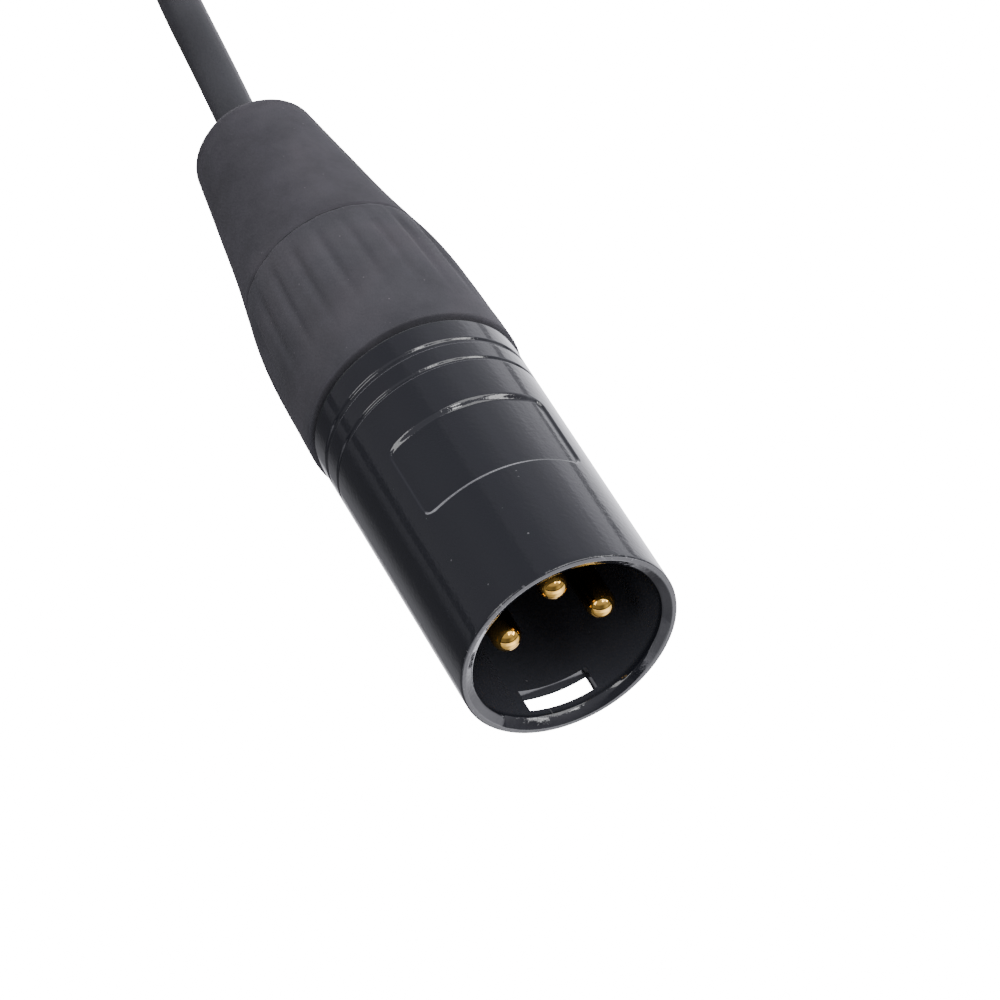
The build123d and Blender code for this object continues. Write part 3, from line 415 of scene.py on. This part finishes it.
link(
    Base_Color=(mark + rubbed + nick * 0.5).mixed(plain, (0.16, 0.16, 0.17)),
    Roughness=smear.above(0.35, 0.75) * 0.07 + 0.06 + mark * 0.4 + sawn * 0.8,
    Coat_Weight=0.8 - sawn * 0.8,
    Normal=bumped(peel + wave * (lumpy * 3.0 + 0.3) + ripple * 0.9 + nick * 0.8, 0.00006, 0.5),
)
shell = make_piece("metal_shell", [(shell_points, shell_quads)], enamel, "root", sharp=40)
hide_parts("xlr_shell")


# The pin insert: a black moulding that fills the shell behind the mouth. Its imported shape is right.
def dress(finish, *names):
    """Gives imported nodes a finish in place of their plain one."""
    for name in names:
        mesh = nodes[name].data
        mesh.materials.clear()
        mesh.materials.append(finish)


insert_black, where, link = finish_of("insert_black_nylon", (0.048, 0.049, 0.055), 0.5)
grain = where.noise(2600.0, Detail=3.0)
cloud = where.noise(300.0)
link(
    Base_Color=cloud.mixed((0.040, 0.041, 0.047), (0.056, 0.057, 0.064)),
    Roughness=grain * 0.2 + 0.4,
    Normal=bumped(grain, 0.00002),
)
dress(insert_black, "pin_insert")


# The three contact pins: turned brass, gold plated and polished, with a domed end, a shoulder that is
# pressed into the insert and a drilled cup behind it for the wire.
pin_r, pin_tip, pin_circle = 1.195, 1.9, 3.97
neck_r, shoulder_r, cup_r, cup_bore_r = 0.945, 1.645, 1.45, 0.95
neck_at, shoulder_at, cup_at, cup_floor, cup_end = 14.85, 15.0, 18.6, 20.0, 24.0
dome = np.radians(np.linspace(0, 90, 14))
behind = np.array([
    [neck_at, pin_r], [neck_at, neck_r], [shoulder_at, neck_r], [shoulder_at, shoulder_r],
    [cup_at, shoulder_r], [cup_at, cup_r], [cup_end, cup_r], [cup_end, cup_bore_r],
    [cup_floor, cup_bore_r], [cup_floor, 0.0]])
pin_t = np.concatenate([pin_tip + pin_r * (1 - np.cos(dome)), behind[:, 0]])
pin_profile = np.concatenate([pin_r * np.sin(dome), behind[:, 1]])
gold, where, link = finish_of("gold_plate", (1.0, 0.6, 0.16), 0.13, Metallic=1.0)
rub = where.noise(1500.0, Detail=3.0)
tone = where.noise(500.0)
along = where.parts()[0]
# Painted shade: gold between about 3 and 30 mm behind the rim, such as the pins' shanks inside the bore, is
# painted dark brown
painted_shank_shade = along.below(-0.0040, -0.0030) * along.above(-0.030, -0.029)
link(
    Base_Color=(painted_shank_shade * 0.8).mixed(tone.mixed((1.0, 0.55, 0.09), (1.0, 0.64, 0.17)), (0.10, 0.055, 0.02)),
    Roughness=rub * 0.08 + 0.04,
    Normal=bumped(rub, 0.000004),
)
for number, angle in ((1, 90.0), (2, -90.0), (3, 0.0)):
    round_it = np.arange(0, 360, 7.5)
    points = turned_points(pin_t[:, None], pin_profile[:, None], round_it)
    points = points + [0, pin_circle * np.sin(np.radians(angle)), pin_circle * np.cos(np.radians(angle))]
    sheet = (points, grid_faces(len(pin_t), len(round_it), False, True))
    pin = make_piece(f"gold_pin_{number}", [sheet], gold, "root", sharp=35)
    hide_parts(f"contact_pin_{number}")
dress(gold, "shell_contact")


# The cable clamp and the cores inside the collar: a pale slotted cone of hard plastic that grips the
# jacket, and three thin coloured wires that run from the jacket's end to the pins.
clamp_white, where, link = finish_of("clamp_natural_nylon", (0.55, 0.54, 0.5), 0.45)
cloud = where.noise(400.0, Detail=3.0)
link(
    Base_Color=cloud.mixed((0.50, 0.49, 0.45), (0.60, 0.59, 0.55)),
    Roughness=cloud * 0.2 + 0.35,
    Normal=bumped(cloud, 0.00003),
)
dress(clamp_white, "cable_clamp")
core_colours = {"red": (0.45, 0.02, 0.02), "white": (0.7, 0.7, 0.68), "black": (0.015, 0.015, 0.016)}
for place, (word, colour) in enumerate(core_colours.items()):
    sleeve, where, link = finish_of(f"core_{word}", colour, 0.35)
    dirt = where.noise(900.0, Detail=2.0)
    darker = tuple(c * 0.8 for c in colour)
    link(Base_Color=dirt.mixed(darker, colour), Roughness=dirt * 0.15 + 0.28)
    dress(sleeve, f"pin_core_{place + 1}", f"board_wire_{place + 1}")


# The fluted collar: the gland nut, moulded in soft matte black plastic. Its threaded sleeve screws
# into the shell, and shallow flutes run out of its waist near the seam to give the fingers a grip.
front, seam, seam_r = 29.15, 45.2, 8.22
side_t = [front, 29.17, 29.22, 29.35, 29.6, 30.2, 31.1, 33.3, 35.5, 38.8, 41.0, 43.3, seam]
side_r = [9.12, 9.25, 9.35, 9.39, 9.40, 9.39, 9.37, 9.30, 9.25, 9.10, 8.9, 8.58, seam_r]
flutes, flute_half, flute_depth = 22, 0.45, 0.24
side_rows = np.concatenate([np.linspace(front, 29.35, 9), np.linspace(29.45, 30.9, 8),
                            np.linspace(31.1, seam - 0.1, 90)])
flute_angles = np.arange(0, 360, 360 / flutes / 16)


def collar_radius(depth, angle):
    """The collar's side less its flutes: each a bell curve across, which fades out at both its ends."""
    base = smooth_through(side_t, side_r, depth)
    pitch = 360 / flutes
    arc = np.radians((angle + pitch / 2) % pitch - pitch / 2) * base
    strength = rise(depth, 31.5, 38.8) * (1 - 0.85 * rise(depth, 41.0, 44.6))
    hollow = flute_depth * strength * np.exp(-((arc / flute_half) ** 2))
    return base - hollow - 0.09 * rise(depth, seam - 0.16, seam)


t, a = np.meshgrid(side_rows, flute_angles, indexing="ij")
side = turned_points(t, collar_radius(t, a), a)
# The spigot with its snap ring, the bore that lets the cable through, and the cone over the clamp
inner_line = np.array([
    (seam, seam_r - 0.2), (seam, 6.05), (46.8, 6.05), (47.6, 6.45), (48.4, 6.05), (50, 6.05), (50, 2.95),
    (41.15, 2.95), (41.15, 3.65), (41.0, 3.65), (31.0, 7.45), (19.9, 7.45)])
bore = turned_points(inner_line[:, :1], inner_line[:, 1:], flute_angles)
# The thread: a cosine ridge that moves back by its pitch of 1 mm in a turn and fades in at the end
sleeve_r, thread_depth = 8.15, 0.3
screw = np.arange(19.9, 27.9, 0.125)[:, None]
ridge = 0.5 - 0.5 * np.cos(2 * np.pi * (screw - flute_angles / 360))
sleeve = turned_points(screw, sleeve_r - thread_depth * ridge * rise(screw, 20, 20.6), flute_angles)
hem_r = np.array([[sleeve_r], [sleeve_r], [8.4]])
hem = turned_points(np.array([[28.0], [29.0], [29.08]]), hem_r, flute_angles)
collar_points = np.concatenate([side, bore, sleeve, hem])
collar_quads = grid_faces(len(collar_points), len(flute_angles), True, True)


def soft_black(name, colour, rough, grain_size, smudge):
    """A matte black moulding: fine grain, faint cloudy smudges and rare pale dust specks."""
    dull = {"Sheen_Weight": 0.03, "Sheen_Roughness": 0.5, "Specular_IOR_Level": 0.2}
    made, where, link = finish_of(name, colour, rough, **dull)
    grain = where.noise(grain_size, Detail=4.0, Roughness=0.65)
    cloud = where.noise(260.0, Detail=6.0, Roughness=0.65)
    blotch = where.noise(70.0, Detail=3.0, Distortion=0.8)
    dust = where.cells(1300.0).below(0.04, 0.11) * where.noise(420.0, Detail=2.0).above(0.54, 0.62)
    dark, pale = (tuple(c * k for c in colour) for k in (0.76, 1.26))
    body = (cloud.above(0.25, 0.75) * 0.6 + blotch.above(0.35, 0.7) * 0.4).mixed(dark, pale)
    smudged = (blotch.above(0.5, 0.75) * smudge).mixed(body, (0.110, 0.096, 0.108))
    link(
        Base_Color=(dust * 0.4).mixed(smudged, (0.34, 0.31, 0.33)),
        Roughness=cloud * 0.16 + (rough - 0.08),
        Normal=bumped(grain + dust * 0.6, 0.00004, 0.6),
    )
    return made


collar_black = soft_black("collar_soft_plastic", (0.070, 0.069, 0.079), 0.66, 2200.0, 0.3)
collar_sheet = (collar_points, collar_quads)
collar = make_piece("fluted_gland_nut", [collar_sheet], collar_black, "collar", 50)
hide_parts("fluted_collar")


# The rubber tail: a bend relief moulded in matt black rubber. Its socket snaps over the collar's
# spigot, and its blunt domed end lets the cable out with a little play.
tail_front, tail_end, mouth_edge_r, lip_out, lip_half = 45.25, 65.92, 2.93, 0.38, 0.255
tail_t = [tail_front, 45.45, 45.75, 46.4, 47.6, 50, 52.5, 55, 57.5, 60, 60.92, 62.42, 63.42, 64.12, 64.72,
          65.22, 65.62, tail_end]
tail_r = [8.10, 8.15, 8.11, 7.99, 7.77, 7.36, 7.0, 6.67, 6.32, 5.98, 5.86, 5.65, 5.45, 4.92, 4.39,
          3.89, 3.41, mouth_edge_r]
rows = np.concatenate([
    np.linspace(tail_front, 45.75, 6), np.linspace(46.2, 62, 26), np.linspace(62.3, tail_end, 34)])
shut = np.radians(np.linspace(0, 180, 9))[1:]
end_t = tail_end + lip_out * np.sin(shut)
end_r = mouth_edge_r - lip_half * (1 - np.cos(shut))
inner_t = np.array([65.2, 58.1, 50.05, 50.05, 48.5, 47.6, 46.7, tail_front])
inner_r = np.array([2.42, 2.42, 4.2, 6.1, 6.1, 6.5, 6.1, 6.1])
line_t = np.concatenate([rows, end_t, inner_t])
line_r = np.concatenate([smooth_through(tail_t, tail_r, rows), end_r, inner_r])
tail_angles = np.arange(0, 360, 3.0)
tail_sheet = (
    turned_points(line_t[:, None], line_r[:, None], tail_angles),
    grid_faces(len(line_t), len(tail_angles), True, True),
)
tail_black = soft_black("tail_matt_rubber", (0.073, 0.070, 0.081), 0.72, 1500.0, 0.4)
tail = make_piece("rubber_bend_relief", [tail_sheet], tail_black, "tail", 50)
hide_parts("rubber_tail")


# The cable: 1.5 m with a satin black jacket, 3.7 mm thick. It comes straight out of the tail, sinks
# to the table and is folded into a hank of seven turns, and ends in the computer plug's relief.
cable_d, fold_r, span, waist, waist_half = 3.7, 11.1, 56.0, 7.55, 4.65
wide_r = fold_r + 1.5 * cable_d
hank_at = np.array([-105.0 - wide_r - span / 2, -4.5, table_z / mm])
run = span / 2 - waist_half
hollow = (run**2 + waist**2 - wide_r**2) / (2 * (wide_r - waist))
lean = np.arctan2(run, waist + hollow)
lift, fold_count = 1.15, 11  # the waist's rise under the tie, and the control points in a fold
fold_step = (np.pi + 2 * lean) / fold_count
fold_angles = -(np.pi / 2 + lean) + (np.arange(fold_count) + 0.5) * fold_step


def fold(side, inset, layer):
    """Control points round one end of the hank: they stand outside the circle that the spline touches."""
    r = (wide_r - inset) / np.cos(fold_step / 2)
    x = side * (span / 2 + r * np.cos(fold_angles))
    return np.stack([x, side * r * np.sin(fold_angles), (layer - 0.5) * cable_d + 0 * x], -1)


def flank(side_x, side_y, inset, layer):
    """Two control points of a hollow flank, outside the arc that leads from a fold to the waist."""
    turn = lean * np.array([0.75, 0.25])
    r = (hollow + inset) / np.cos(lean / 4)
    x = waist_half + r * np.sin(turn)
    y = waist - inset + (hollow + inset) - r * np.cos(turn)
    return np.stack([side_x * x, side_y * y, (layer - 0.5) * cable_d + 0 * x], -1)


inner, outer = 1.5 * cable_d, 0.5 * cable_d
places = [(1, outer), (1, inner), (2, inner), (2, outer), (3, outer), (3, inner), (4, inner), (5, inner)]
strands = [fold(1, outer, 1)[-2:]]
change = rise(np.arange(fold_count), 1.0, 9.0)[:, None]
for (layer, inset), (next_layer, next_inset) in zip(places[:-1], places[1:]):
    strands += [flank(1, 1, inset, layer), flank(-1, 1, inset, layer)[::-1], fold(-1, inset, layer)]
    strands += [flank(-1, -1, inset, layer), flank(1, -1, inset, layer)[::-1]]
    strands += [fold(1, inset, layer) * (1 - change) + fold(1, next_inset, next_layer) * change]
hank = np.concatenate(strands)
hank[:, 2] += lift * (1 - rise(np.abs(hank[:, 0]), 5.5, 17.0))
over = np.array([[14.0, 3.2, 17.0], [8.5, 0.25, 17.8], [1.5, 0, 18.4], [-4.0, 0, 18.8], [-9.4, 0, 18.8]])
lead = np.array([
    [-64.3, -0.1, 0], [-70, 0.38, 0], [-76, 0.86, 0], [-84, 1.42, 0], [-90, 2.3, -1.0], [-98, 5.2, -3.8],
    [-108, 9.0, -7.0]])
route = np.concatenate([lead, hank + hank_at, over + hank_at])

jacket, where, link = finish_of("cable_satin_jacket", (0.045, 0.045, 0.052), 0.42)
grain = where.noise(2500.0, Detail=3.0)
cloud = where.noise(160.0, Detail=4.0)
link(
    Base_Color=cloud.above(0.3, 0.7).mixed((0.040, 0.040, 0.046), (0.052, 0.052, 0.060)),
    Roughness=cloud * 0.16 + 0.34,
    Normal=bumped(grain, 0.00002, 0.5),
)
curve = bpy.data.curves.new("cable", "CURVE")
curve.dimensions, curve.bevel_depth, curve.bevel_resolution = "3D", cable_d / 2 * mm, 5
curve.resolution_u = curve.render_resolution_u = 6
curve.use_fill_caps = True
spline = curve.splines.new("NURBS")
spline.points.add(len(route) - 1)
spline.points.foreach_set("co", np.column_stack([route * mm, np.ones(len(route))]).ravel())
spline.order_u = 3
spline.use_endpoint_u = True
curve.materials.append(jacket)
cable = bpy.data.objects.new("cable", curve)
bpy.context.scene.collection.objects.link(cable)
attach(cable, "root")
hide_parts("cable_lead", "cable_hank", "cable_plug_lead")
dress(jacket, "jacket_in_connector", "jacket_in_plug")


# The hank's tie: a woven hook-and-loop strap, drawn round the waist of the hank and the strand on
# top of it, with its free end pressed down over the first turn.
def strap_loop(corners, radius, count):
    """Points and outward normals, evenly spaced, of the line a radius outside the corners' convex outline."""
    angles = np.linspace(0, 2 * np.pi, 1440, endpoint=False)
    out = np.stack([np.cos(angles), np.sin(angles)], -1)
    line = corners[np.argmax(out @ corners.T, axis=1)] + radius * out
    step = np.linalg.norm(np.roll(line, -1, axis=0) - line, axis=1)
    along = np.concatenate([[0], np.cumsum(step)])
    at = np.linspace(0, along[-1], count, endpoint=False)
    turn = np.concatenate([angles, [2 * np.pi]])
    ring = np.stack([np.interp(at, along, np.append(line[:, k], line[0, k])) for k in (0, 1)], -1)
    angle = np.interp(at, along, turn)
    return ring, np.stack([np.cos(angle), np.sin(angle)], -1)


tie_r, tie_thick, tie_half, tie_edge, tie_play = 2.5, 1.1, 4.5, 0.32, 0.02
half_w, step_z, top_w, top_z = 7.6 - tie_r, 12.25 - tie_r, 3.85 - tie_r, 20.7 - tie_r
low_z = tie_thick + tie_r
tie_corners = np.array([
    [-half_w, low_z], [half_w, low_z], [half_w, step_z], [top_w, top_z], [-top_w, top_z], [-half_w, step_z]])
loop, normals = strap_loop(tie_corners, tie_r + tie_play, 260)
bend = np.radians(np.linspace(0, 90, 5))
corner_x, corner_s = tie_half - tie_edge * (1 - np.sin(bend)), tie_edge * (1 - np.cos(bend))
over_x = np.concatenate([-corner_x[::-1], np.linspace(-3.4, 3.4, 12), corner_x])
low_s = np.concatenate([corner_s[::-1], np.zeros(12), corner_s])
profile_x = np.concatenate([over_x, over_x[::-1]])
profile_s = np.concatenate([low_s, tie_thick - 2 * tie_play - low_s[::-1]])
strap = loop[None] + normals[None] * profile_s[:, None, None]
strap_points = np.concatenate([np.broadcast_to(profile_x[:, None, None], strap.shape[:2] + (1,)), strap], -1)
# The free end: a flat band with round long edges, pinched shut at its two ends
flap_half, flap_round, flap_middle_z = 4.5, 0.275, 22.07
round_y = np.radians(np.linspace(-90, 90, 9))
flap_side = flap_half - flap_round + flap_round * np.cos(round_y)
flap_flat, flap_level = np.linspace(3.9, -3.9, 18), np.full(18, flap_round)
flap_y = np.concatenate([flap_side, flap_flat, -flap_side[::-1], -flap_flat])
flap_z = np.concatenate([
    flap_round * np.sin(round_y), flap_level, flap_round * np.sin(round_y)[::-1], -flap_level])
flap_x = np.concatenate([[-4.4, -4.44], np.linspace(-4.3, 4.3, 14), [4.44, 4.4]])[:, None]
squeeze = np.ones(flap_x.shape)
squeeze[[0, -1]] = 0.0
flap_points = np.stack(np.broadcast_arrays(
    flap_x, flap_y * (0.97 + 0.03 * squeeze), flap_middle_z + flap_z * squeeze), -1)
tie_black, where, link = finish_of("tie_woven_black", (0.012, 0.012, 0.014), 0.85, Sheen_Weight=0.5)
along, across, height = where.parts()
thread_turns = 9000.0  # radians of the weave's wave in a metre
weave = (along * thread_turns).sine() * ((across + height) * thread_turns).sine() * 0.5 + 0.5
fluff = where.noise(1400.0, Detail=5.0, Roughness=0.7)
link(
    Base_Color=(weave * 0.5 + fluff * 0.5).mixed((0.007, 0.007, 0.008), (0.028, 0.028, 0.031)),
    Roughness=fluff * 0.15 + 0.78,
    Normal=bumped(weave * 0.5 + fluff, 0.00018, 0.9),
)
tie_sheets = [(strap_points + hank_at, grid_faces(*strap_points.shape[:2], True, True)),
              (flap_points + hank_at, grid_faces(*flap_points.shape[:2], False, True))]
tie = make_piece("hook_and_loop_tie", tie_sheets, tie_black, "root", 60)
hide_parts("hank_tie")


# The computer plug's housing: two black mouldings with a fine spark-eroded grain, joined along a
# seam at half height, with grip ribs in both sides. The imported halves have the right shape.
housing_black, where, link = finish_of("housing_grained_black", (0.014, 0.014, 0.015), 0.48)
grain = where.noise(3200.0, Detail=4.0, Roughness=0.7)
cloud = where.noise(140.0, Detail=3.0)
pits = where.cells(2600.0)
link(
    Base_Color=cloud.above(0.3, 0.7).mixed((0.012, 0.012, 0.013), (0.019, 0.019, 0.020)),
    Roughness=cloud * 0.14 + grain * 0.1 + 0.36,
    Normal=bumped(grain + pits, 0.00004, 0.6),
)
dress(housing_black, "usb_housing_top", "usb_housing_bottom")


# The plug's strain relief: moulded in the same matt rubber as the tail, with three grooves that let
# it bend, and held by a flange inside the housing.
relief_black = soft_black("relief_matt_rubber", (0.030, 0.030, 0.032), 0.58, 1800.0, 0.1)
dress(relief_black, "usb_relief")


# The plug's metal shell: folded nickel-plated steel with four latch holes. Its white tongue is
# moulded nylon and carries four gold-plated contacts, two of them longer.
steel, where, link = finish_of("nickel_plated_steel", (0.62, 0.61, 0.59), 0.24, Metallic=1.0)
stretched = where.node("VectorMath", {"operation": "MULTIPLY"}, {0: where, 1: (1.0, 0.04, 1.0)})
brush = stretched.noise(5200.0, Detail=3.0)
scuff = where.noise(420.0, Detail=5.0, Roughness=0.7)
link(
    Base_Color=scuff.above(0.3, 0.75).mixed((0.66, 0.65, 0.63), (0.52, 0.51, 0.49)),
    Roughness=scuff * 0.22 + brush * 0.1 + 0.1,
    Normal=bumped(brush, 0.000006, 0.5),
)
dress(steel, "usb_shell")
tongue_white, where, link = finish_of("tongue_white_nylon", (0.72, 0.71, 0.67), 0.4)
cloud = where.noise(350.0, Detail=3.0)
link(
    Base_Color=cloud.mixed((0.66, 0.65, 0.61), (0.78, 0.77, 0.73)),
    Roughness=cloud * 0.2 + 0.3,
    Normal=bumped(cloud, 0.00003),
)
dress(tongue_white, "usb_tongue")
plug_contacts = [f"usb_contact_{number}" for number in (1, 2, 3, 4)]
dress(gold, *plug_contacts)


# The converter's board: green solder mask over copper tracks, with two black epoxy chips and a
# crystal in a steel can soldered on top.
mask, where, link = finish_of("board_green_mask", (0.01, 0.11, 0.04), 0.3)
tracks = where.node("TexBrick", {"offset": 0.5}, {"Vector": where, "Scale": 620.0, "Mortar Size": 0.03}, 1)
cloud = where.noise(600.0)
link(
    Base_Color=tracks.mixed((0.012, 0.13, 0.05), (0.03, 0.22, 0.09)),
    Roughness=cloud * 0.2 + 0.2,
    Normal=bumped(tracks, 0.00003, 0.6),
)
dress(mask, "usb_board")
epoxy, where, link = finish_of("chip_black_epoxy", (0.02, 0.02, 0.021), 0.6)
grain = where.noise(4000.0, Detail=3.0)
link(
    Base_Color=grain.mixed((0.015, 0.015, 0.016), (0.03, 0.03, 0.031)),
    Roughness=grain * 0.2 + 0.5,
    Normal=bumped(grain, 0.00002),
)
dress(epoxy, "bridge_chip", "line_driver_chip")
can, where, link = finish_of("crystal_can_steel", (0.66, 0.66, 0.67), 0.25, Metallic=1.0)
scuff = where.noise(2200.0, Detail=4.0)
link(
    Base_Color=scuff.mixed((0.6, 0.6, 0.61), (0.72, 0.72, 0.73)),
    Roughness=scuff * 0.25 + 0.12,
    Normal=bumped(scuff, 0.000005),
)
dress(can, "board_crystal")
